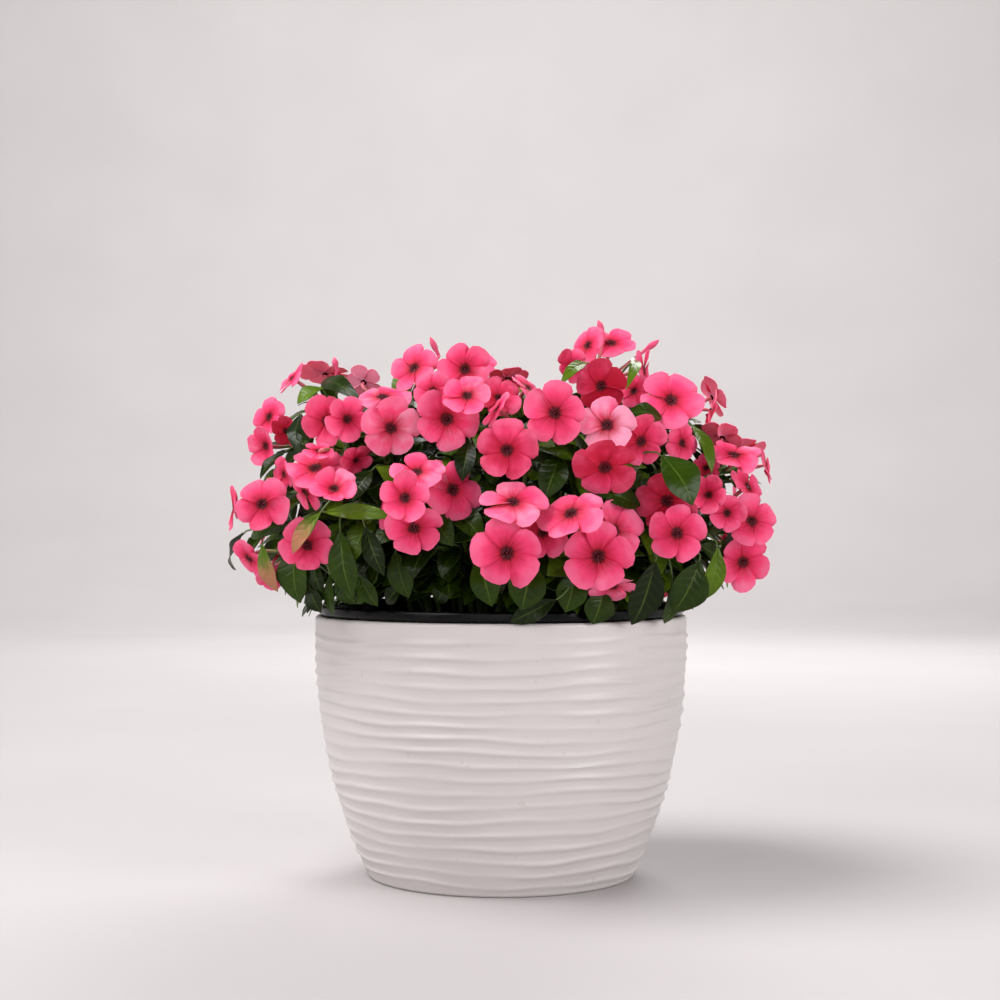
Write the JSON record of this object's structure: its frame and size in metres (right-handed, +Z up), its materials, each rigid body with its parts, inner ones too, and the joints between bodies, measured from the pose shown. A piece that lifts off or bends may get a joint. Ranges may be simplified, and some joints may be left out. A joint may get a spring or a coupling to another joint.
{
  "type": "potted madagascar periwinkle",
  "caption": "Bushy Madagascar periwinkle with raspberry-pink five-petalled blooms and glossy leaves, in a nursery pot inside a white glazed cover pot with wavy ridges.",
  "frame": {"origin": "centre of the cover pot's foot, on the surface that it stands on", "axes": "+Z up the pot, -Y towards the side that the picture shows, +X to its right"},
  "size_m": [0.3837, 0.3391, 0.3851],
  "materials": {
    "glaze": "warm white glaze, satin gloss, over hand-carved wavy ridges",
    "black_plastic": "black moulded plastic with a soft gloss",
    "soil": "dark crumbly potting soil, matt",
    "leaves": "glossy dark green leaf with a pale midrib, on green stems",
    "petals": "velvety raspberry-pink petal with a dark maroon eye"
  },
  "bodies": {
    "root": {"cover_pot": "glaze", "nursery_pot": "black_plastic", "soil": "soil", "leftTopShoot": "leaves", "leftUpperShoot": "leaves", "leftMiddleShoot": "leaves", "leftEdgeShoot": "leaves", "middleTopShoot": "leaves", "centreUpperShoot": "leaves", "middleLowShoot": "leaves", "centreShoot": "leaves", "rightTopShoot": "leaves", "rightUpperShoot": "leaves", "rightEdgeShoot": "leaves", "rightFrontShoot": "leaves", "rightLowShoot": "leaves", "frontMiddleShoot": "leaves", "frontRightShoot": "leaves", "rearRightShoot": "leaves", "backRightShoot": "leaves", "backHighShoot": "leaves", "backLowShoot": "leaves", "backLeftShoot": "leaves", "rearLeftShoot": "leaves", "leftTopBlooms": "petals", "leftShoulderBlooms": "petals", "leftUpperBlooms": "petals", "leftMiddleBlooms": "petals", "leftEdgeBlooms": "petals", "leftLowBlooms": "petals", "middleTopBlooms": "petals", "middleUpperBlooms": "petals", "centreTopBlooms": "petals", "centreUpperBlooms": "petals", "middleLowBlooms": "petals", "centreBlooms": "petals", "centreBackBlooms": "petals", "rightTopBlooms": "petals", "rightUpperBlooms": "petals", "rightShoulderBlooms": "petals", "rightBackBlooms": "petals", "rightEdgeBlooms": "petals", "rightFrontBlooms": "petals", "rightLowBlooms": "petals", "frontMiddleBlooms": "petals", "frontRightBlooms": "petals", "rearRightBlooms": "petals", "rearRightLowBlooms": "petals", "rearRightHighBlooms": "petals", "backRightBlooms": "petals", "backHighBlooms": "petals", "backLowBlooms": "petals", "backLeftBlooms": "petals", "rearLeftBlooms": "petals", "rearLeftHighBlooms": "petals", "crownTopBlooms": "petals"}
  },
  "joints": []
}
